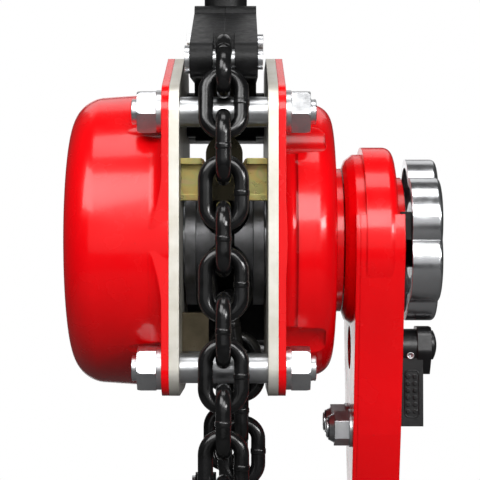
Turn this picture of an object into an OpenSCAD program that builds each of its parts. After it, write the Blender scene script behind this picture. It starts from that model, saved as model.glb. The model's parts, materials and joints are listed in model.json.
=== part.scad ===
// Lever chain hoist: a hand lever works a load sheave through a brake and a gear train.
// +X runs along the drive shaft towards the hand wheel, +Y away from the chain's slack side, +Z up.
// The origin is the centre of the top hook's bowl, straight above the load chain.

/* [Chain] */
// Diameter of the link wire
wire_d = 6; // [5:0.1:7]
// Inside length of a link
chain_pitch = 18; // [17:0.1:20]
// Outside width of a link
link_w = 20; // [19:0.1:21]
// Play between one link and the next
link_play = 0.25; // [0.2:0.05:0.4]
// Pairs of links in the slack side's straight fall
slack_pairs = 5; // [4:1:8]
// Pairs of links between the sheave and the bottom hook
load_pairs = 2; // [2:1:6]
// How far the slack side leans towards the lever
slack_lean = 7; // [5:0.5:7]

/* [Frame] */
// Space between the side plates
plate_gap = 35; // [34:0.5:40]
// Thickness of a side plate
plate_t = 4; // [3:0.5:5]
// Diameter of a stay bolt
rod_d = 12; // [10:0.5:13]
// Plate metal around a stay bolt
rod_land = 11; // [10:0.5:13]
// Height of the plates' top edge above the drive axis
plate_top = 78; // [76:0.5:84]
// Depth of the plates' bottom edge below the drive axis
plate_bottom = 64; // [62:0.5:68]

/* [Covers] */
// Thickness of the covers' flanges
flange_t = 3; // [2:0.5:4]
// Wall of the pressed covers
cover_t = 2.5; // [2:0.1:3]
// Outside radius of the gear cover at its flange
gear_cover_r = 63.5; // [62:0.5:66]
// Depth of the gear cover from its plate
gear_cover_depth = 43; // [42:0.5:50]
// Round on the gear cover's rim
gear_cover_round = 14; // [10:0.5:16]
// Outside radius of the brake cover
brake_cover_r = 60.5; // [59:0.5:63]
// Depth of the brake cover from its plate
brake_cover_depth = 24; // [23.5:0.5:27]
// Round on the brake cover's rim
brake_cover_round = 9; // [6:0.5:10]

/* [Gear train] */
// Module of the gear teeth
gear_m = 1.5; // [1.4:0.05:1.6]
// Teeth on the drive shaft's pinion
drive_teeth = 10; // [10]
// Teeth on each cluster's wheel
wheel_teeth = 30; // [30]
// Teeth on each cluster's pinion
pinion_teeth = 12; // [12]
// Teeth on the load gear
load_teeth = 28; // [28]
// Face width of the gears
gear_face = 9; // [8:0.5:10]
// Radius of the drive shaft
shaft_r = 7; // [6:0.1:7.5]

/* [Brake] */
// Outside radius of the friction discs
disc_r = 25; // [23:0.5:26]
// Thickness of a friction disc
disc_t = 2; // [1.5:0.1:2.5]
// Outside radius of the ratchet disc
ratchet_r = 32; // [31:0.5:34]
// Thickness of the ratchet disc
ratchet_t = 5; // [4:0.5:6]
// Teeth on the ratchet disc
ratchet_teeth = 20; // [16:2:24]
// Radius of the ring that carries the lever
neck_r = 31; // [29:0.5:32]

/* [Lever] */
// Length of the lever from the drive axis to the end of its grip
lever_len = 280; // [250:5:320]
// Radius of the lever's hub
lever_hub_r = 40; // [38:0.5:42]
// Radius of the lever's domed back
lever_back_r = 37; // [35:0.5:38]
// Thickness of the lever arm, along the drive shaft
arm_t = 20; // [18:0.5:22]
// Width of the lever arm below its hub
arm_w = 42; // [38:0.5:46]
// Width of the lever arm at its grip
arm_w_low = 27; // [24:0.5:30]
// Distance of the selector's axis below the drive axis
selector_drop = 46.5; // [46:0.5:48]
// Radius of the hand wheel's lobes from its axis
wheel_r = 34.8; // [33:0.1:37]
// Lobes on the hand wheel
wheel_lobes = 6; // [5:1:8]
// Width of the hand wheel
wheel_w = 12.8; // [11:0.1:14]

/* [Hooks] */
// Radius of a hook's bowl
bowl_r = 18; // [16:0.5:20]
// Depth of the hook's section
hook_depth = 16; // [14:0.5:18]
// Width of the hook's section
hook_w = 13; // [11:0.5:14]
// Radius of a hook's shank
shank_r = 7; // [6:0.1:8]

/* [Hidden] */
$fn = 64;
fit = 0.05;
gap = 0.3;
eps = 0.01;
red = [0.86, 0.02, 0.03];
black = [0.07, 0.07, 0.08];
zinc = [0.75, 0.76, 0.78];
steel = [0.55, 0.56, 0.58];
gold = [0.66, 0.56, 0.28];

// The chain's own geometry: an end bar's distance from its link's centre, and the next link's bar
half_bar = (chain_pitch + wire_d) / 2;
bar_grip = half_bar - wire_d - link_play;
link_step = half_bar + bar_grip;
link_bend = (link_w - wire_d) / 2;
pin_r = 4;
pin_grip = half_bar - wire_d / 2 - pin_r - link_play;
// Links on the four-pocket sheave: flat ones lie in the pockets, upright ones in the groove
flat_r = half_bar + bar_grip * sqrt(2);
upright_r = (flat_r + half_bar) / sqrt(2);
// The slack side: it leans over three links, falls, turns in a loop and rises in front
lean_len = 2 * half_bar + 4 * bar_grip;
lean_angle = asin(slack_lean / lean_len);
fall_z = -2 * half_bar - lean_len * cos(lean_angle);
loop_z = fall_z - 2 * link_step * (slack_pairs - 3) - bar_grip;
loop_w = 4 * half_bar * sin(45) + 2 * bar_grip;
front_y = -upright_r - sqrt(loop_w * loop_w - slack_lean * slack_lean);
loop_dir = [-slack_lean, front_y + upright_r] / loop_w;
loop_turn = atan2(-loop_dir[0], loop_dir[1]);
rise_top = loop_z + 2 * bar_grip + 2 * link_step * slack_pairs;
drape_tilt = 15;
end_tilt = 50;
drape_y = front_y + 2 * half_bar * sin(drape_tilt);
drape_z = rise_top + 2 * half_bar * cos(drape_tilt);
anchor_y = drape_y + (bar_grip + pin_grip) * sin(end_tilt);
anchor_z = drape_z + (bar_grip + pin_grip) * cos(end_tilt);
bottom_pin_z = -2 * link_step * (1 + load_pairs) - pin_grip;

// Places along the drive shaft
rod_y = max(gear_cover_r, brake_cover_r + 3) - rod_land - 0.5;
rod_z = rod_y - 1;
plate_in = plate_gap / 2;
plate_out = plate_in + plate_t;
flange_out = plate_out + flange_t;
gear_cover_x = -plate_out - gear_cover_depth;
brake_cover_x = plate_out + brake_cover_depth;
load_gear_x = -flange_out - 0.5 - gear_face;
wheel_x = load_gear_x - 3.5 - gear_face;
keeper_t = 4;
keeper_x = wheel_x - 1.5 - keeper_t;
hub_x = plate_out + 2.5;
hub_t = 4;
inner_disc_x = hub_x + hub_t;
ratchet_x = inner_disc_x + disc_t + gap;
outer_disc_x = ratchet_x + ratchet_t + gap;
nut_x = outer_disc_x + disc_t;
nut_t = 3.2;
neck_x = brake_cover_x + 4;
arm_x = neck_x + 4.3;
arm_out = arm_x + arm_t;
back_t = 3;
hub_front_x = arm_x + 4.4;
ring_x = arm_out + 1.6;
hand_x = ring_x + 2.2;
pull_out = 5;

// The two clusters stand above and below the drive axis
centre_d = gear_m * (drive_teeth + wheel_teeth) / 2;
gear_add = 0.8 * gear_m;
gear_ded = 1.05 * gear_m;
pressure = 25;
backlash = 0.14;
cluster_r = 6;
journal_r = 4.5;
sleeve_r = 11.9;
sheave_r = 28;
sheave_w = plate_gap - 2;
sheave_journal_r = 13;
bush_r = 17;
groove_r = upright_r - link_w / 2 - 0.4;
groove_w = wire_d + 2;
land_w = link_w + 4;
hub_sleeve_r = 15.5;
spigot_r = 20;
change_r = 19;
change_teeth = 12;
change_x = arm_x + 5;
change_w = 9;

// The yoke and the hooks stand on the load line, behind the drive axis
load_y = upright_r;
top_pin_z = 56;
top_pin_r = 6;
ear_r = 12;
yoke_w = 27;
yoke_depth = 40;
yoke_top = 103;
lug_r = 7;
slot_w = wire_d + 2.7;
collar_r = 10;
collar_t = 9;
crown_t = 9;
neck_len = 9;
bowl_rise = yoke_top + gap + neck_len + bowl_r + hook_depth;
axis_y = -load_y;
axis_z = -bowl_rise;
bottom_yoke_len = 44;
bottom_bowl_z = bottom_pin_z - bottom_yoke_len + ear_r - gap - neck_len - bowl_r - hook_depth;

// Frames: the drive axis, and outlines drawn in the Y-Z plane and raised along X
module at_axis() translate([0, axis_y, axis_z]) children();
module along_x(x = 0) translate([x, 0, 0]) rotate([90, 0, 90]) children();
module slab(x, t) along_x(x) linear_extrude(t) children();
module turned() rotate([0, 90, 0]) rotate_extrude() children();
module rod(x, len, r) along_x(x) cylinder(r = r, h = len);
module tube(x, len, r, bore) difference() {
    rod(x, len, r);
    rod(x - 1, len + 2, bore);
}
module both_sides() {
    children();
    mirror([1, 0, 0]) children();
}

// A convex outline round corner circles [y, z, r], listed counter-clockwise
function tangent(a, b) = let (
    v = [b[0] - a[0], b[1] - a[1]],
    d = v / norm(v),
    s = (a[2] - b[2]) / norm(v),
    n = [d[1], -d[0]] * sqrt(1 - s * s) + d * s
) [[a[0], a[1]] + a[2] * n, [b[0], b[1]] + b[2] * n];
module rounded(corners) {
    n = len(corners);
    polygon([for (i = [0:n - 1]) each tangent(corners[i], corners[(i + 1) % n])]);
    for (c = corners) translate([c[0], c[1]]) circle(c[2]);
}
module stadium(a, b, r) rounded([[a[0], a[1], r], [b[0], b[1], r]]);

// Involute gear outline with a tooth centred on the angle turn
function involute(rb, r) = let (t = sqrt(max(r * r / (rb * rb) - 1, 0))) t * 180 / PI - atan(t);
function half_tooth(z, r) = let (
    rp = gear_m * z / 2,
    rb = rp * cos(pressure)
) 90 / z - backlash / rp * 90 / PI + involute(rb, rp) - involute(rb, max(r, rb));
module gear_outline(z, turn) {
    rp = gear_m * z / 2;
    low = max(rp * cos(pressure), rp - gear_ded + 0.1);
    steps = 4;
    radii = [rp - gear_ded, for (i = [0:steps]) low + (rp + gear_add - low) * i / steps];
    rotate(turn) polygon([for (k = [0:z - 1], side = [-1, 1], i = [0:steps + 1]) let (
        r = radii[side < 0 ? i : steps + 1 - i],
        a = k * 360 / z + side * half_tooth(z, r)
    ) r * [cos(a), sin(a)]]);
}
module hex_prism(af, h) cylinder(d = af / cos(30), h = h, $fn = 6);

// Frame
stud_r = 5;
stud_len = 12;
nut_af = 16;
nut_h = 7.6;
washer_t = 2.2;
washer_r = 8.6;
rod_places = [for (y = [-1, 1], z = [-1, 1]) [y * rod_y, z * rod_z]];
post_y = 40;
post_r = 5;
pawl_pin_r = 4;
pawl_pin_d = ratchet_r + 11;
pawl_turn = 62;
pawl_places = [for (s = [0, 180]) pawl_pin_d * [cos(pawl_turn + s), sin(pawl_turn + s)]];
top_corner = 6;
module plate_outline() rounded([
    [-rod_y, -rod_z, rod_land],
    [0, 20 - plate_bottom, 20],
    [rod_y, -rod_z, rod_land],
    [rod_y, rod_z, rod_land],
    [load_y + 22, plate_top - top_corner, top_corner],
    [-4, plate_top - top_corner, top_corner],
    [-rod_y, rod_z, rod_land]
]);
module at_rods() for (p = rod_places) translate(p) children();
module plate_blank(hole) difference() {
    plate_outline();
    at_rods() circle(stud_r + fit);
    circle(hole);
}
module left_side_plate() color(zinc) at_axis() slab(-plate_out, plate_t) difference() {
    plate_blank(bush_r);
    translate([load_y, top_pin_z]) circle(top_pin_r);
    for (s = [-1, 1]) translate([0, s * centre_d]) circle(journal_r + fit);
}
module right_side_plate() color(zinc) at_axis() slab(plate_in, plate_t) difference() {
    plate_blank(bush_r);
    translate([load_y, top_pin_z]) circle(top_pin_r);
}
module stay_bolts() color(zinc) at_axis() along_x() at_rods() {
    translate([0, 0, -plate_in]) cylinder(d = rod_d, h = plate_gap);
    translate([0, 0, -flange_out - stud_len]) cylinder(r = stud_r, h = 2 * (flange_out + stud_len));
}
module stay_nuts() color(zinc) at_axis() both_sides() along_x(flange_out + washer_t) at_rods() difference() {
    rotate(9) intersection() {
        hex_prism(nut_af, nut_h);
        cylinder(r1 = nut_af / 2 + 3.2, r2 = nut_af / 2, h = nut_h + 2.4);
    }
    translate([0, 0, -1]) cylinder(r = stud_r, h = nut_h + 2);
}
module stay_washers() color(zinc) at_axis() both_sides() along_x(flange_out) at_rods() difference() {
    cylinder(r = washer_r, h = washer_t);
    translate([0, 0, -1]) cylinder(r = stud_r, h = washer_t + 2);
}

// Covers: a flange to the plate's outline and a drawn cup with a rounded rim
flare = 5;
cover_draft = 2;
module cup_profile(r, depth, round) {
    polygon([[0, 0], [r, 0], [r - cover_draft, depth - round], [r - cover_draft - round, depth], [0, depth]]);
    translate([r - cover_draft - round, depth - round]) circle(round);
}
module cup(r, depth, round) turned() intersection() {
    cup_profile(r, depth, round);
    square([r, depth]);
}
module flare_ring(r) turned() translate([r - 0.2, 0]) difference() {
    square(flare);
    translate([flare, flare]) circle(flare);
}
module nut_pockets(r, len) along_x(flange_t) at_rods() cylinder(r = r, h = len);
module pressed_cover(r, depth, round, pocket_r, pocket_len) difference() {
    union() {
        difference() {
            union() {
                slab(0, flange_t) plate_outline();
                cup(r, depth, round);
                intersection() {
                    translate([flange_t, 0, 0]) flare_ring(r - 0.15);
                    slab(0, 20) plate_outline();
                }
            }
            nut_pockets(pocket_r, pocket_len);
        }
    }
    difference() {
        translate([-eps, 0, 0]) cup(r - cover_t, depth - cover_t + eps, round - cover_t / 2);
        nut_pockets(pocket_r + cover_t, pocket_len + cover_t);
    }
    along_x(-1) at_rods() cylinder(r = stud_r + fit, h = flange_t + 2);
}
module gear_cover() color(red) at_axis() mirror([1, 0, 0]) translate([plate_out, 0, 0])
    pressed_cover(gear_cover_r, gear_cover_depth, gear_cover_round, 10.6, 14);
module brake_cover() color(red) at_axis() translate([plate_out, 0, 0]) difference() {
    union() {
        pressed_cover(brake_cover_r, brake_cover_depth, brake_cover_round, 16.5, brake_cover_depth - 7.5);
        tube(brake_cover_depth - cover_t, neck_x - brake_cover_x + cover_t, neck_r, spigot_r - 2);
        tube(brake_cover_depth, arm_x + back_t + 1 - brake_cover_x, spigot_r, sleeve_r + 1);
    }
    rod(brake_cover_depth - cover_t - 1, cover_t + 6, sleeve_r + 1);
}

// Load sheave, its bushes and the gear train
spline_r = 11;
spline_h = 1.8;
spline_w = 4;
module spline(play) {
    circle(spline_r + play);
    for (a = [0:60:300]) rotate(a) translate([0, -spline_w / 2 - play])
        square([spline_r + spline_h + play, spline_w + 2 * play]);
}
module link_pocket() rotate([90, 0, 90]) linear_extrude(sheave_r) {
    play = 0.4;
    for (s = [-1, 1]) translate([0, s * (half_bar - link_bend)]) circle(link_w / 2 + play);
    translate([-link_w / 2 - play, link_bend - half_bar]) square([link_w + 2 * play, 2 * (half_bar - link_bend)]);
}
module load_sheave() color(steel) at_axis() difference() {
    union() {
        rod(-sheave_w / 2, sheave_w, sheave_r);
        rod(-plate_out - 0.3, 2 * plate_out + 0.8, sheave_journal_r);
        slab(load_gear_x - 2, 4 - plate_out - load_gear_x) spline(0);
    }
    rod(-60, 120, shaft_r + fit);
    turned() translate([groove_r, -groove_w / 2]) square([sheave_r, groove_w]);
    turned() translate([upright_r + 0.5, -land_w / 2]) square([sheave_r, land_w]);
    for (a = [45:90:315]) rotate([a, 0, 0]) translate([0, flat_r - wire_d / 2 - gap, 0])
        rotate([0, 0, 90]) link_pocket();
    tube(load_gear_x - 1.3, 1.2, spline_r + 4, spline_r - 0.6);
}
module bush(x) difference() {
    union() {
        rod(x, plate_t, bush_r);
        rod(x < 0 ? plate_in * -1 : sheave_w / 2 + gap, plate_in - sheave_w / 2 - gap, bush_r + 3);
    }
    rod(-60, 120, sheave_journal_r + fit);
}
module sheave_bush_left() color(gold) at_axis() bush(-plate_out);
module sheave_bush_right() color(gold) at_axis() bush(plate_in);
module load_gear() color(steel) at_axis() slab(load_gear_x, gear_face) difference() {
    gear_outline(load_teeth, 90);
    spline(fit);
}
module load_gear_circlip() color(steel) at_axis() slab(load_gear_x - 1.2, 1) difference() {
    circle(spline_r + 3.4);
    circle(spline_r - 0.5);
    translate([-1.5, 0]) square([3, spline_r + 5]);
}
module cluster_wheel() slab(wheel_x, gear_face - 1) difference() {
    gear_outline(wheel_teeth, 270 + 180 / wheel_teeth);
    circle(cluster_r);
    for (a = [30:60:330]) rotate(a) translate([gear_m * wheel_teeth / 3.6, 0]) circle(4);
}
module cluster_pinion() {
    slab(load_gear_x, gear_face) gear_outline(pinion_teeth, 270 + 180 / pinion_teeth);
    rod(wheel_x - 1, load_gear_x - wheel_x + 1, cluster_r);
    rod(load_gear_x + gear_face, -plate_out - load_gear_x - gear_face - gap, cluster_r);
    rod(keeper_x, plate_t + keeper_t - plate_out - keeper_x - keeper_t, journal_r);
}
module upper_cluster() at_axis() translate([0, 0, centre_d]) children();
module lower_cluster() at_axis() rotate([180, 0, 0]) translate([0, 0, centre_d]) children();
module cluster_wheel_upper() color(steel) upper_cluster() cluster_wheel();
module cluster_pinion_upper() color(steel) upper_cluster() cluster_pinion();
module cluster_wheel_lower() color(steel) lower_cluster() cluster_wheel();
module cluster_pinion_lower() color(steel) lower_cluster() cluster_pinion();
module gear_keeper() color(zinc) at_axis() slab(keeper_x, keeper_t) difference() {
    union() {
        stadium([0, -centre_d], [0, centre_d], 9);
        stadium([-post_y, 0], [post_y, 0], 9);
    }
    for (s = [-1, 0, 1]) translate([0, s * centre_d]) circle(journal_r + fit);
    for (s = [-1, 1]) translate([s * post_y, 0]) circle(2.6);
}
module keeper_posts() color(zinc) at_axis() for (s = [-1, 1]) translate([0, s * post_y, 0]) difference() {
    rod(keeper_x + keeper_t, -plate_out - keeper_x - keeper_t, post_r);
    rod(keeper_x, keeper_t + 13, 2.6);
}
module keeper_screws() color(zinc) at_axis() for (s = [-1, 1]) translate([0, s * post_y, 0]) {
    rod(keeper_x, keeper_t + 12, 2.5);
    rod(keeper_x - 3, 3, 4.5);
}

// Drive shaft, load brake and hand wheel
web_x = hand_x + 2.4;
web_out = web_x + 3.5;
end_nut_x = web_out + pull_out + gap;
end_nut_t = 3.2;
wheel_ring = 16.5;
module drive_shaft() color(steel) at_axis() {
    rod(keeper_x - 2, 7, journal_r);
    slab(wheel_x, gear_face - 1) gear_outline(drive_teeth, 90);
    rod(wheel_x - 1.2, gear_face + 2, 5.6);
    rod(wheel_x + gear_face + 0.5, end_nut_x + end_nut_t + 0.8 - wheel_x - gear_face - 0.5, shaft_r);
}
module brake_hub() color(steel) at_axis() {
    tube(hub_x, hub_t, disc_r, shaft_r);
    tube(hub_x, nut_x - hub_x, hub_sleeve_r, shaft_r);
}
module friction_discs() color(black) at_axis() {
    tube(inner_disc_x, disc_t, disc_r - 0.5, hub_sleeve_r);
    tube(outer_disc_x, disc_t, disc_r - 0.5, hub_sleeve_r);
}
ratchet_root = ratchet_r - 4;
ratchet_step = 360 / ratchet_teeth;
pawl_lead = 2 * ratchet_step;
module ratchet_disc() color(steel) at_axis() slab(ratchet_x, ratchet_t) difference() {
    rotate(pawl_turn) polygon([for (k = [0:ratchet_teeth - 1], r = [ratchet_root, ratchet_r])
        r * [cos(k * ratchet_step), sin(k * ratchet_step)]]);
    circle(hub_sleeve_r + fit);
}
module pawl_pins() color(steel) at_axis() along_x() for (p = pawl_places) translate(p) {
    translate([0, 0, plate_out]) cylinder(r = pawl_pin_r, h = ratchet_x + ratchet_t + 1.3 - plate_out);
    translate([0, 0, plate_out]) cylinder(r = pawl_pin_r + 2, h = ratchet_x - gap - plate_out);
    translate([0, 0, ratchet_x + ratchet_t + gap]) cylinder(r = pawl_pin_r + 2, h = 1.6);
}
function polar(r, a) = r * [cos(a), sin(a)];
module brake_pawl(turn) color(steel) at_axis() slab(ratchet_x, ratchet_t) rotate(turn) {
    translate([pawl_pin_d, 0]) difference() {
        circle(7);
        circle(pawl_pin_r + fit);
    }
    polygon([
        polar(ratchet_root + 0.6, pawl_lead - 2.2),
        polar(ratchet_root + 2.2, pawl_lead - 6),
        polar(ratchet_r + 0.9, pawl_lead / 2 - 1),
        [pawl_pin_d - 3.5, -5],
        [pawl_pin_d - 4.6, -2.5],
        [pawl_pin_d - 4.6, 2.5],
        [pawl_pin_d - 2, 6.2],
        polar(ratchet_r + 2, pawl_lead - 0.8)
    ]);
}
module brake_pawl_upper() brake_pawl(pawl_turn);
module brake_pawl_lower() brake_pawl(pawl_turn + 180);
change_root = change_r - 3;
change_step = 360 / change_teeth;
module brake_nut() color(steel) at_axis() difference() {
    union() {
        rod(nut_x, nut_t, disc_r);
        rod(nut_x, change_x + change_w - nut_x, sleeve_r);
        slab(change_x, change_w) rotate(-90) polygon([for (k = [0:change_teeth - 1], c = [-6.5, -3, 3, 6.5])
            polar(abs(c) > 5 ? change_root : change_r, k * change_step + c)]);
    }
    rod(nut_x - 1, change_x + change_w - nut_x + 2, shaft_r);
}
lug_x = arm_out - 1;
module free_wheel_cam() color(black) at_axis() {
    tube(change_x + change_w, web_x - gap - change_x - change_w, sleeve_r, shaft_r);
    difference() {
        translate([ring_x + gap, -30.5, 0]) cube([1.6, 30.5, 11.7]);
        rod(ring_x - 1, 6, sleeve_r);
    }
    translate([lug_x, -30.5, 0]) cube([ring_x + gap + 0.1 - lug_x, 3, 11.7]);
}
module end_nut() color(zinc) at_axis() along_x(end_nut_x) difference() {
    hex_prism(20, end_nut_t);
    translate([0, 0, -1]) cylinder(r = shaft_r, h = end_nut_t + 2);
}
module lobes(r) for (k = [0:wheel_lobes - 1]) rotate(90 + k * 360 / wheel_lobes) translate([wheel_ring, 0]) circle(r);
lobe_r = wheel_r - wheel_ring;
module hand_wheel() color(zinc) at_axis() difference() {
    union() {
        slab(hand_x, wheel_w - 2) lobes(lobe_r);
        for (k = [0:wheel_lobes - 1]) rotate([90 + k * 360 / wheel_lobes, 0, 0]) translate([0, wheel_ring, 0])
            turned() intersection() {
                union() {
                    translate([0, hand_x]) square([lobe_r - 2, wheel_w]);
                    translate([lobe_r - 2, hand_x + wheel_w - 2]) circle(2);
                }
                translate([0, hand_x]) square([lobe_r, wheel_w]);
            }
        rod(hand_x, wheel_w, wheel_ring + 4);
    }
    difference() {
        slab(hand_x - 1, wheel_w - 2.5) lobes(lobe_r - 3.5);
        rod(web_x, wheel_w, wheel_ring);
    }
    rod(web_out, wheel_w, 13);
    rod(hand_x - 1, wheel_w, shaft_r + fit);
}

// Lever
selector_z = -selector_drop;
arm_low = -108;
shank_x = arm_x + 11;
shank_d = 18;
bolt_y = 12;
bolt_z = -80;
bolt_r = 4;
skirt_top = 10.5;
skirt_t = 1.7;
clear_r = 33.5;
module arm_outline() intersection() {
    rounded([
        [4 - arm_w_low / 2, arm_low, 4],
        [arm_w_low / 2 - 4, arm_low, 4],
        [arm_w / 2 - 5, bolt_z, 6],
        [0, 0, lever_hub_r - 0.6],
        [5 - arm_w / 2, bolt_z, 6]
    ]);
    translate([-60, -160]) square([120, 160 + skirt_top]);
}
module bolt_holes(r) for (s = [-1, 1]) translate([s * bolt_y, bolt_z]) circle(r);
module lever_back_plate() color(red) at_axis() difference() {
    union() {
        turned() polygon([
            [spigot_r + fit, neck_x + 0.5],
            [neck_r, neck_x + 0.5],
            [neck_r + 3.5, neck_x + 1.8],
            [lever_back_r, neck_x + 5],
            [lever_back_r, hub_front_x],
            [lever_back_r - 4, hub_front_x],
            [lever_back_r - 4, arm_x + back_t],
            [spigot_r + fit, arm_x + back_t]
        ]);
        slab(arm_x, skirt_t) difference() {
            arm_outline();
            circle(lever_back_r - 5);
        }
    }
    along_x(arm_x - 1) translate([0, selector_z]) cylinder(d = 19, h = back_t + 2);
    slab(arm_x - 1, 10) bolt_holes(bolt_r);
}
module pawl_room() {
    circle(change_r + 4);
    polygon([[-23, -17], [-23, -26], [-8.5, -53], [8.5, -53], [23, -26], [23, -17]]);
    translate([0, selector_z]) circle(9.5);
}
module lever_housing() color(red) at_axis() difference() {
    union() {
        turned() intersection() {
            union() {
                translate([0, hub_front_x]) square([lever_hub_r, arm_out - hub_front_x - 6.3]);
                translate([0, hub_front_x]) square([lever_hub_r - 4, arm_out - hub_front_x - 2.3]);
                translate([lever_hub_r - 4, arm_out - 6.3]) circle(4);
            }
            square([lever_hub_r, arm_out]);
        }
        rod(arm_out - 4, ring_x - arm_out + 4, 27);
        slab(arm_x + skirt_t, hub_front_x - arm_x) arm_outline();
        slab(arm_x + skirt_t, arm_out - arm_x - skirt_t) difference() {
            arm_outline();
            circle(clear_r);
        }
        translate([shank_x, 0, -lever_len + 6]) cylinder(d = shank_d, h = lever_len - 6 + arm_low + 2);
    }
    turned() translate([0, arm_x]) square([lever_back_r + 0.02, hub_front_x - arm_x]);
    slab(arm_x, hub_front_x + 10.8 - arm_x) pawl_room();
    rod(arm_x, 40, sleeve_r + 0.6);
    along_x(arm_x) translate([0, selector_z]) cylinder(r = 5 + fit, h = 40);
    slab(arm_x - 1, 40) bolt_holes(bolt_r);
    slab(arm_out - 4, 8) bolt_holes(6.5);
}
grip_len = lever_len - 150;
grip_r = shank_d / 2 + 5;
module lever_grip() color(black) at_axis() translate([shank_x, 0, -lever_len]) difference() {
    rotate_extrude() union() {
        translate([0, 3]) square([grip_r, grip_len - 3]);
        square([grip_r - 3, grip_len]);
        translate([grip_r - 3, 3]) circle(3);
    }
    translate([0, 0, 6]) cylinder(d = shank_d, h = 140);
    for (z = [25:15:grip_len - 10]) translate([0, 0, z]) rotate_extrude() translate([grip_r + 0.6, 0]) circle(1.6);
}
module lever_bolts() color(zinc) at_axis() along_x() for (s = [-1, 1]) translate([s * bolt_y, bolt_z]) {
    translate([0, 0, arm_x - 9]) cylinder(r = bolt_r, h = arm_out - arm_x + 9);
    translate([0, 0, arm_out - 4]) cylinder(r = 6.5, h = 4.2);
}
module lever_lock_nuts() color(zinc) at_axis() along_x() for (s = [-1, 1]) translate([s * bolt_y, bolt_z])
    difference() {
        union() {
            translate([0, 0, arm_x - 1.2]) cylinder(r = 8, h = 1.2);
            translate([0, 0, arm_x - 7.5]) rotate(30) hex_prism(13, 6.4);
            translate([0, 0, arm_x - 9.6]) cylinder(r1 = 5, r2 = 6.2, h = 2.2);
        }
        translate([0, 0, arm_x - 9]) cylinder(r = bolt_r, h = 12);
    }
module at_selector() at_axis() translate([0, 0, selector_z]) children();
knob_x = arm_out + 0.7;
module selector_shaft() color(steel) at_selector() rod(change_x - 1, knob_x + 3 - change_x + 1, 5);
horn_len = 29.5;
horn_spread = 26;
module change_pawl() color(steel) at_selector() slab(change_x, change_w) difference() {
    union() {
        circle(8);
        for (s = [-1, 1]) rotate(90 + s * horn_spread)
            polygon([[0, -5], [horn_len, -1], [horn_len + 1, 0], [horn_len, 1], [0, 5]]);
    }
    circle(5);
}
module selector_knob() color(black) at_selector() difference() {
    union() {
        rod(knob_x, 11, 8);
        slab(knob_x + 8, 6) rounded([[-1, -10, 1.6], [1, -10, 1.6], [6, -1, 3], [4, 5, 4], [-4, 5, 4], [-6, -1, 3]]);
        along_x(knob_x + 12.6) translate([0, 1, 0]) rotate_extrude() intersection() {
            translate([0, -9]) circle(13.4);
            square([6.3, 6]);
        }
        slab(knob_x + 1, 9.5) polygon([[-7.6, -33.4], [8.4, -30], [6.8, -2], [-6.8, -2]]);
        for (z = [-12:-3:-27], s = [0, 1]) translate([knob_x + 4 + 3 * s, -8.1, z]) rotate([-90, 0, 0])
            cylinder(r = 0.9, h = 3);
    }
    rod(knob_x - 1, 4, 5);
    translate([knob_x + 5, 0, -3]) rotate([90, 0, 0]) cylinder(r = 1.4, h = 20);
}

// Chain
module half_link() {
    translate([0, 0, half_bar - link_bend]) rotate([90, 0, 0]) rotate_extrude(angle = 180)
        translate([link_bend, 0]) circle(d = wire_d);
    translate([link_bend, 0, -eps]) cylinder(d = wire_d, h = half_bar - link_bend + 2 * eps);
    translate([-link_bend, 0, -eps]) cylinder(d = wire_d, h = half_bar - link_bend + 2 * eps);
}
module link() {
    half_link();
    mirror([0, 0, 1]) half_link();
}
module upright() rotate([0, 0, 90]) link();
module sheave_place(a, r) translate([0, -r * cos(a), r * sin(a)]) rotate([-a, 0, 0]) children();
module lean_place(s) translate([0, -upright_r, -half_bar]) rotate([0, -lean_angle, 0]) translate([0, 0, -s])
    children();
module chain_on_sheave() color(black) at_axis() {
    for (a = [0, 90, 180]) sheave_place(a, upright_r) upright();
    for (a = [45, 135]) sheave_place(a, flat_r) link();
    translate([0, load_y, -link_step]) link();
    lean_place(bar_grip) link();
}
module load_chain() color(black) at_axis() translate([0, load_y, 0]) {
    for (k = [0:load_pairs]) translate([0, 0, -2 * link_step * (1 + k)]) upright();
    for (k = [1:load_pairs]) translate([0, 0, -2 * link_step * k - link_step]) link();
}
module loop_place(s, h, a) translate([slack_lean + loop_dir[0] * s, -upright_r + loop_dir[1] * s, loop_z + h])
    rotate([0, 0, loop_turn]) rotate([a, 0, 0]) children();
module tail_chain() color(black) at_axis() {
    lean_place(2 * bar_grip + half_bar) upright();
    lean_place(3 * bar_grip + 2 * half_bar) link();
    translate([slack_lean, -upright_r, fall_z]) {
        for (k = [0:slack_pairs - 3]) translate([0, 0, -2 * link_step * k]) upright();
        for (k = [1:slack_pairs - 3]) translate([0, 0, -2 * link_step * k + link_step]) link();
    }
    loop_place(half_bar * sin(45), -half_bar * cos(45), 45) link();
    loop_place(loop_w / 2, -2 * half_bar * cos(45), 90) upright();
    loop_place(loop_w - half_bar * sin(45), -half_bar * cos(45), -45) link();
    translate([0, front_y, loop_z + bar_grip]) {
        for (j = [0:slack_pairs]) translate([0, 0, 2 * link_step * j]) upright();
        for (j = [1:slack_pairs]) translate([0, 0, 2 * link_step * j - link_step]) link();
    }
    translate([0, front_y + half_bar * sin(drape_tilt), rise_top + half_bar * cos(drape_tilt)])
        rotate([-drape_tilt, 0, 0]) link();
    translate([0, drape_y + bar_grip * sin(end_tilt), drape_z + bar_grip * cos(end_tilt)])
        rotate([-end_tilt, 0, 0]) upright();
}
module tail_anchor_pin() color(zinc) at_axis() translate([0, anchor_y, anchor_z]) {
    rod(-yoke_w / 2 - 2, yoke_w + 4, pin_r);
    rod(-yoke_w / 2 - 2, 2, pin_r + 1.6);
}

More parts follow.
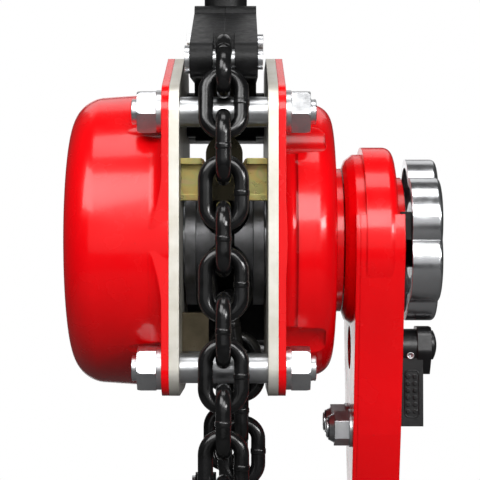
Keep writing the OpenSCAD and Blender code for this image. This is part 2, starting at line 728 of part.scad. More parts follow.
// Chain guide and stripper, fixed between the side plates
guide_y = -40;
guide_t = 2.5;
guide_z = 16;
guide_h = 17;
guide_gap = 5;
hump_r = 7.5;
guard_y = 38;
guard_t = 2;
module upright_sheet(y, t) translate([0, y + t, 0]) rotate([90, 0, 0]) linear_extrude(t) children();
module guide_wing() polygon([
    [guide_gap - 1, guide_z],
    [plate_in, guide_z],
    [plate_in, guide_z + guide_h],
    [guide_gap + 3.5, guide_z + guide_h],
    [guide_gap - 1, guide_z + guide_h / 2]
]);
module guide_lips() {
    translate([guide_gap + 4, guide_y - 6, guide_z + guide_h - guide_t]) cube([plate_in - guide_gap - 4, 7, guide_t]);
    translate([guide_gap + 1, guide_y - 4, guide_z]) cube([plate_in - guide_gap - 1, 5, guide_t]);
}
module chain_guide() color(gold) at_axis() {
    upright_sheet(guide_y, guide_t) {
        guide_wing();
        mirror([1, 0]) guide_wing();
        translate([-hump_r, guide_z]) square([2 * hump_r, guide_h + 2]);
        translate([0, guide_z + guide_h + 2]) circle(hump_r);
    }
    both_sides() guide_lips();
}
module rear_guard() color(black) at_axis() {
    translate([-plate_in, guard_y, -46]) cube([plate_gap, guard_t, 76]);
    translate([-plate_in, guard_y, -46]) cube([plate_gap, 7, guard_t]);
    translate([-plate_in, guard_y, 28]) cube([plate_gap, 7, guard_t]);
}
module chain_stripper() color(gold) at_axis() translate([-plate_in, -31, 0]) {
    translate([0, 0, -46]) cube([11, guide_t, 16]);
    translate([0, guide_t - eps, -46]) cube([11, 6, guide_t]);
    translate([0, guide_t - eps, -32.5]) cube([11, 4, guide_t]);
}

// Top yoke, in two halves round the hook's collar
crown_bottom = yoke_top - crown_t;
module half_of(side) intersection() {
    children();
    translate([side < 0 ? -60 : 0, -300, -300]) cube([60, 600, 600]);
}
module yoke_bolt_places() for (s = [-1, 1]) translate([load_y + s * 16, yoke_top - 17]) children();
module top_yoke() at_axis() difference() {
    union() {
        slab(-yoke_w / 2, yoke_w) {
            rounded([
                [load_y, top_pin_z, ear_r],
                [load_y + yoke_depth / 2 - 5, 76, 5],
                [load_y + yoke_depth / 2 - 7, yoke_top - 7, 7],
                [load_y - yoke_depth / 2 + 7, yoke_top - 7, 7],
                [load_y - yoke_depth / 2 + 5, 76, 5]
            ]);
            rounded([
                [anchor_y, anchor_z, lug_r],
                [load_y - 10, 75, 6],
                [load_y - 12, yoke_top - 10, 8]
            ]);
        }
        along_x(gap - plate_in) translate([load_y, top_pin_z]) cylinder(r = ear_r - 2, h = plate_gap - 2 * gap);
    }
    rod_at(load_y, top_pin_z, top_pin_r);
    rod_at(anchor_y, anchor_z, pin_r);
    translate([-slot_w / 2, -120, 40]) cube([slot_w, 120 + anchor_y + 16, 60]);
    translate([0, load_y, crown_bottom - collar_t - 1]) cylinder(r = collar_r + 0.4, h = collar_t + 1);
    translate([0, load_y, crown_bottom - 1]) cylinder(r = shank_r + fit, h = crown_t + 2);
    along_x(-50) yoke_bolt_places() cylinder(r = 2.5, h = 100);
}
module rod_at(y, z, r) along_x(-50) translate([y, z]) cylinder(r = r, h = 100);
module top_yoke_left() color(black) half_of(-1) top_yoke();
module top_yoke_right() color(black) half_of(1) top_yoke();
module yoke_bolts() color(zinc) at_axis() along_x() yoke_bolt_places() {
    translate([0, 0, -yoke_w / 2 - 3]) cylinder(r = 2.5, h = yoke_w + 6);
    translate([0, 0, yoke_w / 2]) cylinder(r = 4.2, h = 3);
    translate([0, 0, -yoke_w / 2 - 3.2]) hex_prism(8, 3.2);
}
module top_pin() color(zinc) at_axis() translate([0, load_y, top_pin_z]) rod(-plate_out, 2 * plate_out, top_pin_r);

// Bottom yoke
bottom_yoke_end = bottom_pin_z + ear_r - bottom_yoke_len;
module bottom_yoke() at_axis() translate([0, load_y, 0]) difference() {
    slab(-yoke_w / 2, yoke_w) rounded([
        [0, bottom_pin_z, lug_r],
        [-9, bottom_pin_z - 12, 6],
        [-8, bottom_yoke_end + 7, 7],
        [8, bottom_yoke_end + 7, 7],
        [9, bottom_pin_z - 12, 6]
    ]);
    rod_at(0, bottom_pin_z, pin_r);
    translate([-slot_w / 2, -40, bottom_pin_z - 14]) cube([slot_w, 80, 40]);
    translate([0, 0, bottom_yoke_end + crown_t]) cylinder(r = collar_r + 0.4, h = collar_t + 1);
    translate([0, 0, bottom_yoke_end - 1]) cylinder(r = shank_r + fit, h = crown_t + 2);
}
module bottom_yoke_left() color(black) half_of(-1) bottom_yoke();
module bottom_yoke_right() color(black) half_of(1) bottom_yoke();
module bottom_pin() color(zinc) at_axis() translate([0, load_y, bottom_pin_z]) {
    rod(-yoke_w / 2 - 1.5, yoke_w + 3, pin_r);
    rod(-yoke_w / 2 - 1.5, 1.5, pin_r + 1.6);
}

// Hooks: the bowl's axis is X, the shank points down and the throat faces -Y
hook_out = bowl_r + hook_depth;
hook_offset = 3.5;
pivot_r = 27;
pivot_turn = 250;
pivot = polar(pivot_r, pivot_turn);
latch_pin_r = 2;
tip_turn = 190;
lip_turn = 204;
back_turn = 267;
latch_end_r = 1.8;
latch_ring = bowl_r + 4;
latch_end = polar(latch_ring, tip_turn + 9);
lip_r = latch_ring + latch_end_r + gap;
module hook() {
    difference() {
        intersection() {
            turned() polygon([
                [bowl_r, -hook_w / 2 + 1],
                [bowl_r + 1, -hook_w / 2],
                [bowl_r + 4, -hook_w / 2],
                [hook_out - 3, -hook_w / 2 + 2],
                [hook_out, -2],
                [hook_out, 2],
                [hook_out - 3, hook_w / 2 - 2],
                [bowl_r + 4, hook_w / 2],
                [bowl_r + 1, hook_w / 2],
                [bowl_r, hook_w / 2 - 1]
            ]);
            translate([0, hook_offset, 0]) rod(-20, 40, hook_out - hook_offset);
        }
        slab(-20, 40) polygon([[0, 0], polar(60, lip_turn), polar(70, 228), polar(60, back_turn)]);
        intersection() {
            rod(-20, 40, lip_r);
            slab(-20, 40) polygon([[0, 0], polar(60, tip_turn), polar(70, 228), polar(60, back_turn)]);
        }
    }
    difference() {
        union() {
            translate([0, 4, -hook_out]) cylinder(r = 6.4, h = 12);
            translate([0, 0, -hook_out - neck_len]) cylinder(r = 9.5, h = neck_len + 2.5);
            slab(-3, 6) rounded([[pivot[0], pivot[1], 5], [2, -32, 3], [2, -26, 3]]);
        }
        rod(-20, 40, bowl_r);
        translate([0, pivot[0], pivot[1]]) rod(-20, 40, latch_pin_r);
    }
    translate([0, 0, -hook_out - neck_len - 2 * gap - crown_t - collar_t])
        cylinder(r = shank_r, h = neck_len + crown_t + collar_t);
    translate([0, 0, -hook_out - neck_len - 2 * gap - crown_t - collar_t]) cylinder(r = collar_r, h = collar_t);
}
module latch() difference() {
    slab(-5.3, 10.6) rounded([[pivot[0], pivot[1], 4.4], [latch_end[0], latch_end[1], latch_end_r]]);
    translate([0, pivot[0], pivot[1]]) rod(-3.3, 6.6, 10);
    translate([0, pivot[0], pivot[1]]) rod(-20, 40, latch_pin_r + fit);
}
module latch_pin() translate([0, pivot[0], pivot[1]]) {
    rod(-6.6, 13.2, latch_pin_r);
    rod(-6.6, 1, latch_pin_r + 1);
    rod(5.6, 1, latch_pin_r + 1);
}
module at_bottom_bowl() translate([0, 0, axis_z + bottom_bowl_z]) rotate([180, 0, 0]) children();
module top_hook() color(black) hook();
module top_latch() color(zinc) latch();
module top_latch_pin() color(zinc) latch_pin();
module bottom_hook() color(black) at_bottom_bowl() hook();
module bottom_latch() color(zinc) at_bottom_bowl() latch();
module bottom_latch_pin() color(zinc) at_bottom_bowl() latch_pin();

left_side_plate();
right_side_plate();
stay_bolts();
stay_nuts();
stay_washers();
gear_cover();
brake_cover();
top_yoke_left();
top_yoke_right();
yoke_bolts();
top_pin();
tail_anchor_pin();
chain_guide();
chain_stripper();
rear_guard();
sheave_bush_left();
sheave_bush_right();
gear_keeper();
keeper_posts();
keeper_screws();
ratchet_disc();
pawl_pins();
load_chain();
chain_on_sheave();
tail_chain();
bottom_yoke_left();
bottom_yoke_right();
bottom_pin();
load_sheave();
load_gear();
load_gear_circlip();
cluster_wheel_upper();
cluster_pinion_upper();
cluster_wheel_lower();
cluster_pinion_lower();
drive_shaft();
brake_hub();
friction_discs();
brake_nut();
free_wheel_cam();
end_nut();
hand_wheel();
lever_housing();
lever_back_plate();
lever_grip();
lever_bolts();
lever_lock_nuts();
selector_knob();
selector_shaft();
change_pawl();
brake_pawl_upper();
brake_pawl_lower();
top_hook();
top_latch();
top_latch_pin();
bottom_hook();
bottom_latch();
bottom_latch_pin();
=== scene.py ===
"""Looks of the lever chain hoist: finishes, small fittings, studio and camera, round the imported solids."""
import json
import math

import bmesh
import bpy
import numpy as np
from mathutils import Matrix, Vector


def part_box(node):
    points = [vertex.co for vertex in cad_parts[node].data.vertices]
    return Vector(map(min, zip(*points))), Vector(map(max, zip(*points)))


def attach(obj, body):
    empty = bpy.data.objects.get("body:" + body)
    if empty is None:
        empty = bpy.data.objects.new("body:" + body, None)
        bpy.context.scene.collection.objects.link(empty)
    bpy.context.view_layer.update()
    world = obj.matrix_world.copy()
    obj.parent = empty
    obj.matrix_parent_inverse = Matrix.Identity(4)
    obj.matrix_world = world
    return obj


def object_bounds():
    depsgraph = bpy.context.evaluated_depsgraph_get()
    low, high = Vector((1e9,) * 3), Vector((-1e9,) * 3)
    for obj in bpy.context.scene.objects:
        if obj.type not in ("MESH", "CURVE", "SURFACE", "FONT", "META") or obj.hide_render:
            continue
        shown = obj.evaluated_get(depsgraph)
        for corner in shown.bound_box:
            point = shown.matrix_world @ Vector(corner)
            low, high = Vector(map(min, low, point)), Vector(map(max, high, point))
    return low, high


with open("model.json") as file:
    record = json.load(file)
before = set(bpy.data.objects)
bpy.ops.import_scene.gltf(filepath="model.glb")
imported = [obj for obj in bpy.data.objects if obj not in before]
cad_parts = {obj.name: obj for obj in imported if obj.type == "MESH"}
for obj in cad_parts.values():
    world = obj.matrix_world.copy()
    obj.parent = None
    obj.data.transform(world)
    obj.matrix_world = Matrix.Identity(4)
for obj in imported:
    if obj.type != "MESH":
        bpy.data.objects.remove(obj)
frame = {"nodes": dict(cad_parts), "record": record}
cad_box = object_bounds()
nodes = frame["nodes"]
scene = bpy.context.scene
scene.view_settings.view_transform = "Standard"

# Places on the hoist, in metres
MM = 0.001
gear_low, gear_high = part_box("load_gear")
AXIS = Vector((0, (gear_low.y + gear_high.y) / 2, (gear_low.z + gear_high.z) / 2))

# The span that most values of a noise texture fall in
NOISE_LOW = 0.3
NOISE_HIGH = 0.7
BLACK = (0, 0, 0)
WHITE = (1, 1, 1)
EDGE_SAMPLES = 6


# Node helpers for the finishes
def new_material(name):
    material = bpy.data.materials.new(name)
    material.use_nodes = True
    tree = material.node_tree
    shader = tree.nodes["Principled BSDF"]
    return material, tree, shader


def object_place(tree, scale):
    place = tree.nodes.new("ShaderNodeTexCoord")
    mapping = tree.nodes.new("ShaderNodeMapping")
    mapping.inputs["Scale"].default_value = scale
    tree.links.new(place.outputs["Object"], mapping.inputs["Vector"])
    return mapping.outputs["Vector"]


def noise(tree, size, detail=3.0, stretch=(1, 1, 1), distortion=0.0):
    texture = tree.nodes.new("ShaderNodeTexNoise")
    texture.inputs["Scale"].default_value = 1.0 / size
    texture.inputs["Detail"].default_value = detail
    texture.inputs["Distortion"].default_value = distortion
    tree.links.new(object_place(tree, stretch), texture.inputs["Vector"])
    return texture.outputs["Fac"]


def ramp(tree, value, stops):
    node = tree.nodes.new("ShaderNodeValToRGB")
    while len(node.color_ramp.elements) < len(stops):
        node.color_ramp.elements.new(0.5)
    for element, (place, colour) in zip(node.color_ramp.elements, stops):
        element.position = place
        element.color = (*colour, 1)
    tree.links.new(value, node.inputs["Fac"])
    return node.outputs["Color"]


def spread(tree, value, low, high):
    node = tree.nodes.new("ShaderNodeMapRange")
    node.inputs["From Min"].default_value = NOISE_LOW
    node.inputs["From Max"].default_value = NOISE_HIGH
    node.inputs["To Min"].default_value = low
    node.inputs["To Max"].default_value = high
    tree.links.new(value, node.inputs["Value"])
    return node.outputs["Result"]


def bump(tree, shader, height, depth, strength, edge):
    """Surface grain over edges that are broken by the radius edge."""
    rounded = tree.nodes.new("ShaderNodeBevel")
    rounded.samples = EDGE_SAMPLES
    rounded.inputs["Radius"].default_value = edge
    node = tree.nodes.new("ShaderNodeBump")
    node.inputs["Strength"].default_value = strength
    node.inputs["Distance"].default_value = depth
    tree.links.new(height, node.inputs["Height"])
    tree.links.new(rounded.outputs["Normal"], node.inputs["Normal"])
    tree.links.new(node.outputs["Normal"], shader.inputs["Normal"])


def blend(tree, factor, first, second):
    node = tree.nodes.new("ShaderNodeMix")
    node.data_type = "RGBA"
    tree.links.new(factor, node.inputs["Factor"])
    for socket, colour in (("A", first), ("B", second)):
        target = [s for s in node.inputs if s.name == socket and s.type == "RGBA"][0]
        if isinstance(colour, tuple):
            target.default_value = (*colour, 1)
        else:
            tree.links.new(colour, target)
    return [s for s in node.outputs if s.type == "RGBA"][0]


# Finishes
def red_enamel():
    material, tree, shader = new_material("red enamel")
    cloud = noise(tree, 45 * MM, 2.0)
    colour = ramp(tree, cloud, [(NOISE_LOW, (0.70, 0.0, 0.002)), (NOISE_HIGH, (0.80, 0.0, 0.003))])
    dust = ramp(tree, noise(tree, 0.9 * MM, 2.0), [(0.70, BLACK), (0.80, WHITE)])
    tree.links.new(blend(tree, dust, colour, (0.60, 0.008, 0.008)), shader.inputs["Base Color"])
    tree.links.new(spread(tree, noise(tree, 12 * MM), 0.20, 0.30), shader.inputs["Roughness"])
    peel = noise(tree, 2.2 * MM, 1.0)
    bump(tree, shader, peel, 0.03 * MM, 0.35, 0.9 * MM)
    shader.inputs["Coat Weight"].default_value = 0.35
    shader.inputs["Coat Roughness"].default_value = 0.10
    shader.inputs["Specular IOR Level"].default_value = 0.3
    return material


def plated_steel(name, dark, light, rough_low, rough_high, grain=(1, 1, 1), metal=1.0):
    material, tree, shader = new_material(name)
    shader.inputs["Metallic"].default_value = metal
    cloud = noise(tree, 9 * MM, 4.0)
    colour = ramp(tree, cloud, [(NOISE_LOW, dark), (NOISE_HIGH, light)])
    speck = ramp(tree, noise(tree, 1.1 * MM, 2.0), [(0.68, BLACK), (0.82, WHITE)])
    shade = tuple(0.72 * c for c in dark)
    tree.links.new(blend(tree, speck, colour, shade), shader.inputs["Base Color"])
    roughness = spread(tree, noise(tree, 4 * MM, 4.0), rough_low, rough_high)
    tree.links.new(roughness, shader.inputs["Roughness"])
    bump(tree, shader, noise(tree, 0.6 * MM, 3.0, grain), 0.02 * MM, 0.5, 0.35 * MM)
    return material


def black_oxide(name, scale_size, depth, rough_low, rough_high, shine):
    material, tree, shader = new_material(name)
    shader.inputs["Specular IOR Level"].default_value = shine
    cloud = noise(tree, 6 * MM, 4.0)
    tones = [(NOISE_LOW, (0.003, 0.003, 0.003)), (NOISE_HIGH, (0.009, 0.009, 0.0095))]
    colour = ramp(tree, cloud, tones)
    worn = ramp(tree, noise(tree, 1.4 * MM, 5.0), [(0.66, BLACK), (0.80, WHITE)])
    tree.links.new(blend(tree, worn, colour, (0.022, 0.021, 0.020)), shader.inputs["Base Color"])
    roughness = spread(tree, noise(tree, 3 * MM, 4.0), rough_low, rough_high)
    tree.links.new(roughness, shader.inputs["Roughness"])
    bump(tree, shader, noise(tree, scale_size, 4.0), depth, 0.7, 0.5 * MM)
    return material


def moulded(name, colour, rough, grain):
    material, tree, shader = new_material(name)
    lighter = tuple(1.6 * c + 0.004 for c in colour)
    mottle = ramp(tree, noise(tree, 7 * MM), [(NOISE_LOW, colour), (NOISE_HIGH, lighter)])
    tree.links.new(mottle, shader.inputs["Base Color"])
    roughness = spread(tree, noise(tree, 2 * MM), rough - 0.06, rough + 0.06)
    tree.links.new(roughness, shader.inputs["Roughness"])
    bump(tree, shader, noise(tree, grain, 2.0), 0.04 * MM, 0.5, 0.4 * MM)
    return material


# Half widths of the band of painted shade behind the chain, full and faded out
PAINTED_SHADE_HALF = 7.5 * MM
PAINTED_SHADE_EDGE = 10.5 * MM


def yellow_zinc():
    """Iridescent passivated plate, with shade painted near black along its middle, behind the chain."""
    material, tree, shader = new_material("yellow zinc")
    tints = [(0.25, (0.50, 0.27, 0.15)), (0.45, (0.50, 0.38, 0.13)), (0.60, (0.42, 0.40, 0.15)),
             (0.78, (0.56, 0.34, 0.20))]
    colour = ramp(tree, noise(tree, 7 * MM, 3.0, (1, 1, 1), 0.6), tints)
    parts = tree.nodes.new("ShaderNodeSeparateXYZ")
    tree.links.new(object_place(tree, (1, 1, 1)), parts.inputs[0])
    across = tree.nodes.new("ShaderNodeMath")
    across.operation = "ABSOLUTE"
    tree.links.new(parts.outputs["X"], across.inputs[0])
    # Painted shade: the colour goes near black within these half widths of the middle
    painted_shade = tree.nodes.new("ShaderNodeMapRange")
    painted_shade.inputs["From Min"].default_value = PAINTED_SHADE_HALF
    painted_shade.inputs["From Max"].default_value = PAINTED_SHADE_EDGE
    painted_shade.inputs["To Min"].default_value = 1.0
    painted_shade.inputs["To Max"].default_value = 0.0
    tree.links.new(across.outputs[0], painted_shade.inputs["Value"])
    tree.links.new(blend(tree, painted_shade.outputs["Result"], colour, (0.028, 0.024, 0.014)),
                   shader.inputs["Base Color"])
    shader.inputs["Metallic"].default_value = 0.9
    tree.links.new(spread(tree, noise(tree, 4 * MM, 4.0), 0.24, 0.40), shader.inputs["Roughness"])
    bump(tree, shader, noise(tree, 0.6 * MM, 3.0), 0.02 * MM, 0.5, 0.35 * MM)
    return material


# Grain stretched along the drive shaft, as turning leaves it
TURNED = (1, 8, 8)
FINISHES = {
    "red_paint": red_enamel(),
    "pale_zinc": plated_steel("pale zinc", (0.66, 0.63, 0.55), (0.78, 0.76, 0.70), 0.42, 0.56, metal=0.7),
    "bright_zinc": plated_steel("bright zinc", (0.62, 0.63, 0.65), (0.78, 0.79, 0.80), 0.28, 0.40),
    "yellow_zinc": yellow_zinc(),
    # Painted shade: a dark copy of the yellow zinc, for plate that lies in shadow
    "olive_zinc": plated_steel("yellow zinc, painted shade", (0.085, 0.070, 0.045), (0.15, 0.125, 0.085), 0.42, 0.60),
    "dark_steel": plated_steel("dark turned steel", (0.15, 0.15, 0.155), (0.28, 0.28, 0.29), 0.34, 0.48,
                               TURNED),
    "black_chain": black_oxide("black chain", 0.7 * MM, 0.015 * MM, 0.14, 0.24, 0.5),
    "black_steel": black_oxide("black forged steel", 1.2 * MM, 0.16 * MM, 0.36, 0.52, 0.25),
    "machined_steel": plated_steel("machined steel", (0.42, 0.43, 0.45), (0.60, 0.61, 0.63), 0.26, 0.40,
                                   TURNED),
    "friction_lining": moulded("friction lining", (0.10, 0.08, 0.06), 0.75, 0.8 * MM),
    "chrome": plated_steel("chrome", (0.70, 0.71, 0.73), (0.80, 0.81, 0.83), 0.18, 0.26),
    "black_rubber": moulded("black rubber", (0.012, 0.012, 0.012), 0.62, 0.5 * MM),
    "black_plastic": moulded("black plastic", (0.004, 0.004, 0.0045), 0.34, 0.6 * MM),
}
for part in frame["record"]["subparts"]:
    mesh = nodes[part["node"]].data
    mesh.materials.clear()
    mesh.materials.append(FINISHES[part["material_slot"]])


# Small fittings
def piece(name, shape, finish, body):
    bmesh.ops.recalc_face_normals(shape, faces=shape.faces)
    mesh = bpy.data.meshes.new(name)
    shape.to_mesh(mesh)
    shape.free()
    for face in mesh.polygons:
        face.use_smooth = True
    mesh.materials.append(finish)
    fitting = bpy.data.objects.new(name, mesh)
    scene.collection.objects.link(fitting)
    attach(fitting, body)


def extrude_ring(shape, edges):
    """Extrudes a loop of edges and gives back the new loop's vertices and edges."""
    made = bmesh.ops.extrude_edge_only(shape, edges=edges)["geom"]
    verts = [g for g in made if isinstance(g, bmesh.types.BMVert)]
    loop = [g for g in made if isinstance(g, bmesh.types.BMEdge) and all(v in verts for v in g.verts)]
    return verts, loop


def add_ring(shape, matrix, rows, segments):
    """A turned ring: rows are (radius, height) round the matrix's own Z, closed at both ends."""
    first = bmesh.ops.create_circle(shape, segments=segments, radius=rows[0][0],
                                    matrix=matrix @ Matrix.Translation((0, 0, rows[0][1])))["verts"]
    edges = list({e for v in first for e in v.link_edges})
    caps = [edges]
    for (before, low), (after, high) in zip(rows, rows[1:]):
        verts, edges = extrude_ring(shape, edges)
        grow = Matrix.Scale(after / before, 4, (1, 0, 0)) @ Matrix.Scale(after / before, 4, (0, 1, 0))
        lift = Matrix.Translation((0, 0, high)) @ grow @ Matrix.Translation((0, 0, -low))
        step = matrix @ lift @ matrix.inverted()
        bmesh.ops.transform(shape, matrix=step, verts=verts)
    caps.append(edges)
    for loop in caps:
        bmesh.ops.edgeloop_fill(shape, edges=loop)


def add_loop(shape, points, normal, radius, segments=12):
    """A closed bead of round section along points that lie near one plane."""
    frames = []
    for k, point in enumerate(points):
        ahead = (points[(k + 1) % len(points)] - points[k - 1]).normalized()
        side = ahead.cross(normal).normalized()
        axes = Matrix((side, ahead.cross(side), ahead)).transposed().to_4x4()
        frames.append(Matrix.Translation(point) @ axes)
    first = bmesh.ops.create_circle(shape, segments=segments, radius=radius, matrix=frames[0])["verts"]
    start = list({e for v in first for e in v.link_edges})
    edges = start
    for before, after in zip(frames, frames[1:]):
        verts, edges = extrude_ring(shape, edges)
        bmesh.ops.transform(shape, matrix=after @ before.inverted(), verts=verts)
    bmesh.ops.bridge_loops(shape, edges=start + edges)


def along(direction, place):
    return Matrix.Translation(place) @ Vector(direction).to_track_quat("Z", "Y").to_matrix().to_4x4()


# Weld beads, one on a side bar of each chain link
WIRE_R = 3 * MM
LINK_BEND = 7 * MM
BEAD_RISE = 0.32 * MM
BEAD_HALF = 1.5 * MM
BEAD_SHOULDER = 0.1 * MM
BEAD_SINK = 0.3 * MM


def link_frames(node):
    """Each link's centre, width direction and long direction, from its own solid."""
    shape = bmesh.new()
    shape.from_mesh(nodes[node].data)
    bmesh.ops.remove_doubles(shape, verts=shape.verts, dist=1e-6)
    left = set(shape.verts)
    found = []
    while left:
        stack = [left.pop()]
        island = []
        while stack:
            vert = stack.pop()
            island.append(vert.co[:])
            for edge in vert.link_edges:
                other = edge.other_vert(vert)
                if other in left:
                    left.remove(other)
                    stack.append(other)
        points = np.array(island)
        centre = (points.min(axis=0) + points.max(axis=0)) / 2
        spans = np.linalg.eigh(np.cov((points - points.mean(axis=0)).T))[1]
        wide = Vector(spans[:, 1])
        if wide.x - wide.y < 0:
            wide = -wide
        found.append((Vector(centre), wide, Vector(spans[:, 2])))
    shape.free()
    return found


def weld_beads(node, body):
    shape = bmesh.new()
    for centre, wide, length in link_frames(node):
        rows = [(WIRE_R - BEAD_SINK, -BEAD_HALF), (WIRE_R + BEAD_SHOULDER, -0.8 * BEAD_HALF),
                (WIRE_R + BEAD_RISE, -0.3 * BEAD_HALF), (WIRE_R + 0.6 * BEAD_RISE, 0),
                (WIRE_R + BEAD_RISE, 0.3 * BEAD_HALF), (WIRE_R + BEAD_SHOULDER, 0.8 * BEAD_HALF),
                (WIRE_R - BEAD_SINK, BEAD_HALF)]
        add_ring(shape, along(length, centre + LINK_BEND * wide), rows, segments=28)
    piece(node + "_weld_beads", shape, FINISHES["black_chain"], body)


for node in ("load_chain", "chain_on_sheave", "tail_chain"):
    weld_beads(node, "frame")


# Threads on the stay studs and lever bolts
THREAD_PITCH = 1.25 * MM
THREAD_START = 0.3 * MM
THREAD_ROOT = 0.25 * MM
THREAD_CREST = 0.18 * MM
THREAD_POINT = 0.6 * MM


def thread_rows(radius, low, high):
    turns = max(2, round((high - low) / THREAD_PITCH))
    rows = [(radius - THREAD_START, low)]
    for k in range(turns):
        base = low + (high - low) * k / turns
        rise = (high - low) / turns
        rows.append((radius - THREAD_ROOT, base + 0.1 * rise))
        rows.append((radius + THREAD_CREST, base + 0.5 * rise))
    rows.append((radius - THREAD_POINT, high))
    return rows


stud_low, stud_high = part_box("stay_bolts")
nut_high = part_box("stay_nuts")[1]
STUD_R = 5 * MM
STUD_TO_EDGE = 6 * MM
STUD_PROUD = 0.2 * MM
shape = bmesh.new()
for y in (stud_low.y + STUD_TO_EDGE, stud_high.y - STUD_TO_EDGE):
    for z in (stud_low.z + STUD_TO_EDGE, stud_high.z - STUD_TO_EDGE):
        for side, out in ((-1, stud_low.x), (1, stud_high.x)):
            reach = abs(out) - abs(nut_high.x)
            add_ring(shape, along((side, 0, 0), (side * nut_high.x, y, z)),
                     thread_rows(STUD_R, 0, reach + STUD_PROUD), segments=32)
piece("stay_stud_threads", shape, FINISHES["bright_zinc"], "frame")

lock_low, lock_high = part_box("lever_lock_nuts")
BOLT_R = 4 * MM
BOLT_TO_EDGE = 8 * MM
BOLT_SUNK = 0.4 * MM
BOLT_THREAD = 1.6 * MM
COLLAR_SUNK = 0.6 * MM
COLLAR_ROWS = [(5.0 * MM, 0), (5.1 * MM, 0.3 * MM), (4.9 * MM, 0.9 * MM), (4.3 * MM, 1.0 * MM)]
nylon = moulded("lock nut nylon", (0.015, 0.015, 0.02), 0.35, 0.4 * MM)
threads = bmesh.new()
collars = bmesh.new()
for y in (lock_low.y + BOLT_TO_EDGE, lock_high.y - BOLT_TO_EDGE):
    z = (lock_low.z + lock_high.z) / 2
    bolt_end = along((-1, 0, 0), (lock_low.x + BOLT_SUNK, y, z))
    add_ring(threads, bolt_end, thread_rows(BOLT_R, 0, BOLT_THREAD), segments=28)
    nut_end = along((-1, 0, 0), (lock_low.x + COLLAR_SUNK, y, z))
    add_ring(collars, nut_end, COLLAR_ROWS, segments=36)
piece("lever_bolt_threads", threads, FINISHES["bright_zinc"], "lever")
piece("lock_nut_collars", collars, nylon, "lever")

# Roll pin in the selector's barrel, and the rim round its thumb pad
knob_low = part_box("selector_knob")[0]
SELECTOR_DROP = 46.5 * MM
SELECTOR_Z = AXIS.z - SELECTOR_DROP
PIN_R = 1.4 * MM
PIN_ALONG = 5 * MM
PIN_DROP = 3 * MM
PIN_SUNK = 0.8 * MM
BARREL_R = 8 * MM
shape = bmesh.new()
pin_place = (knob_low.x + PIN_ALONG, AXIS.y - BARREL_R + PIN_SUNK, SELECTOR_Z - PIN_DROP)
add_ring(shape, along((0, -1, 0), pin_place),
         [(PIN_R - 0.5 * MM, 0), (PIN_R + 0.25 * MM, 0.2 * MM), (PIN_R + 0.2 * MM, 0.55 * MM),
          (PIN_R - 0.3 * MM, 0.6 * MM), (PIN_R - 0.55 * MM, 0.1 * MM)], segments=32)
piece("selector_roll_pin", shape, FINISHES["bright_zinc"], "selector")

PAD_LEFT = knob_low.x + 2.6 * MM
PAD_RIGHT = knob_low.x + 8.6 * MM
PAD_TOP = -9.5 * MM
PAD_LOW = -29.5 * MM
PAD_ROUND = 1.8 * MM
PAD_FRONT = -6.8 * MM
PAD_HINGE = 2 * MM
PAD_SLOPE = 0.8 / 31.4
RIM_R = 0.35 * MM
CORNER_STEPS = 6
points = []
for x, z, start in ((PAD_RIGHT, PAD_TOP, 0), (PAD_LEFT, PAD_TOP, 90), (PAD_LEFT, PAD_LOW, 180),
                    (PAD_RIGHT, PAD_LOW, 270)):
    centre_x = x - math.copysign(PAD_ROUND, x - (PAD_LEFT + PAD_RIGHT) / 2)
    centre_z = z - math.copysign(PAD_ROUND, z - (PAD_TOP + PAD_LOW) / 2)
    for step in range(CORNER_STEPS + 1):
        a = math.radians(start + 90 * step / CORNER_STEPS)
        drop = centre_z + PAD_ROUND * math.sin(a)
        front = PAD_FRONT + (drop + PAD_HINGE) * PAD_SLOPE
        points.append(Vector((centre_x + PAD_ROUND * math.cos(a), AXIS.y + front, SELECTOR_Z + drop)))
shape = bmesh.new()
add_loop(shape, points, Vector((0, -1, 0)), RIM_R)
piece("thumb_pad_rim", shape, FINISHES["black_plastic"], "selector")


# Studio
def area_light(name, azimuth, elevation, distance, width, height, power):
    """A lamp aimed at the drive shaft's axis, placed by angles in degrees from the camera's side."""
    a = math.radians(azimuth)
    e = math.radians(elevation)
    place = AXIS + distance * Vector((math.sin(a) * math.cos(e), -math.cos(a) * math.cos(e), math.sin(e)))
    data = bpy.data.lights.new(name, "AREA")
    data.shape = "RECTANGLE"
    data.size = width
    data.size_y = height
    data.energy = power
    lamp = bpy.data.objects.new(name, data)
    scene.collection.objects.link(lamp)
    lamp.location = place
    lamp.rotation_euler = (AXIS - place).to_track_quat("-Z", "Y").to_euler()
    return lamp


area_light("left softbox", azimuth=-34, elevation=36, distance=1.3, width=0.8, height=0.7, power=11)
area_light("right strip", azimuth=40, elevation=12, distance=1.3, width=0.6, height=0.16, power=7)
area_light("top softbox", azimuth=0, elevation=78, distance=1.3, width=0.9, height=0.5, power=5)
area_light("front fill", azimuth=10, elevation=26, distance=1.6, width=0.9, height=0.6, power=12)
area_light("broad panel", azimuth=0, elevation=6, distance=1.8, width=2.0, height=1.0, power=3)
behind = area_light("white panel behind", azimuth=184, elevation=0, distance=1.6, width=0.6, height=1.1,
                    power=2.4)
behind.visible_camera = False
above = area_light("rear top panel", azimuth=180, elevation=42, distance=1.6, width=1.4, height=0.9, power=3)
above.visible_camera = False

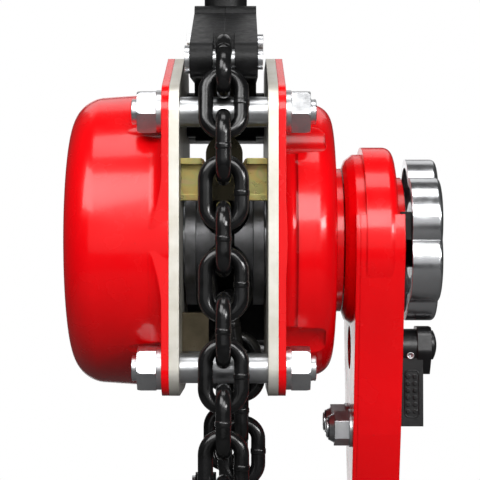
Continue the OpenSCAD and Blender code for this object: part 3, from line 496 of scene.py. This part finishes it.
# World: white to the camera, dim to the object
WORLD_STRENGTH = 0.05
world = bpy.data.worlds.new("studio")
scene.world = world
world.use_nodes = True
tree = world.node_tree
back = tree.nodes["Background"]
back.inputs["Color"].default_value = (1, 1, 1, 1)
back.inputs["Strength"].default_value = WORLD_STRENGTH
seen = tree.nodes.new("ShaderNodeBackground")
seen.inputs["Color"].default_value = (1, 1, 1, 1)
seen.inputs["Strength"].default_value = 1.0
paths = tree.nodes.new("ShaderNodeLightPath")
chooser = tree.nodes.new("ShaderNodeMixShader")
either = tree.nodes.new("ShaderNodeMath")
either.operation = "MAXIMUM"
tree.links.new(paths.outputs["Is Camera Ray"], either.inputs[0])
tree.links.new(paths.outputs["Is Transmission Ray"], either.inputs[1])
tree.links.new(either.outputs[0], chooser.inputs["Fac"])
tree.links.new(back.outputs[0], chooser.inputs[1])
tree.links.new(seen.outputs[0], chooser.inputs[2])
tree.links.new(chooser.outputs[0], tree.nodes["World Output"].inputs["Surface"])

# Pale floor under the hanging hoist
FLOOR_DROP = 30 * MM
FLOOR_R = 0.8
FLOOR_TO_OBJECT = (0.10, 0.10, 0.10)
FLOOR_TO_CAMERA = (0.86, 0.86, 0.85)
floor_mesh = bpy.data.meshes.new("floor")
shape = bmesh.new()
bmesh.ops.create_circle(shape, cap_ends=True, segments=96, radius=FLOOR_R,
                        matrix=Matrix.Translation((0, 0, cad_box[0][2] - FLOOR_DROP)))
shape.to_mesh(floor_mesh)
shape.free()
floor = bpy.data.objects.new("floor", floor_mesh)
scene.collection.objects.link(floor)
floor_paint, tree, shader = new_material("pale floor")
shader.inputs["Roughness"].default_value = 0.8
shader.inputs["Specular IOR Level"].default_value = 0.1
floor_paths = tree.nodes.new("ShaderNodeLightPath")
floor_tone = blend(tree, floor_paths.outputs["Is Camera Ray"], FLOOR_TO_OBJECT, FLOOR_TO_CAMERA)
tree.links.new(floor_tone, shader.inputs["Base Color"])
floor_mesh.materials.append(floor_paint)

# Camera, level with the drive shaft and square to it, with its focal length in pixels of the picture
CAMERA_OFF = 635 * MM
CAMERA_X = 6.4 * MM
IMAGE_PX = 480
FOCAL_PX = 1464
SENSOR_MM = 36
camera_data = bpy.data.cameras.new("camera")
camera_data.sensor_width = SENSOR_MM
camera_data.lens = SENSOR_MM * FOCAL_PX / IMAGE_PX
camera_data.clip_end = 20
camera = bpy.data.objects.new("camera", camera_data)
scene.collection.objects.link(camera)
camera.location = AXIS + Vector((CAMERA_X, -CAMERA_OFF, 0))
camera.rotation_euler = (math.radians(90), 0, 0)
scene.camera = camera
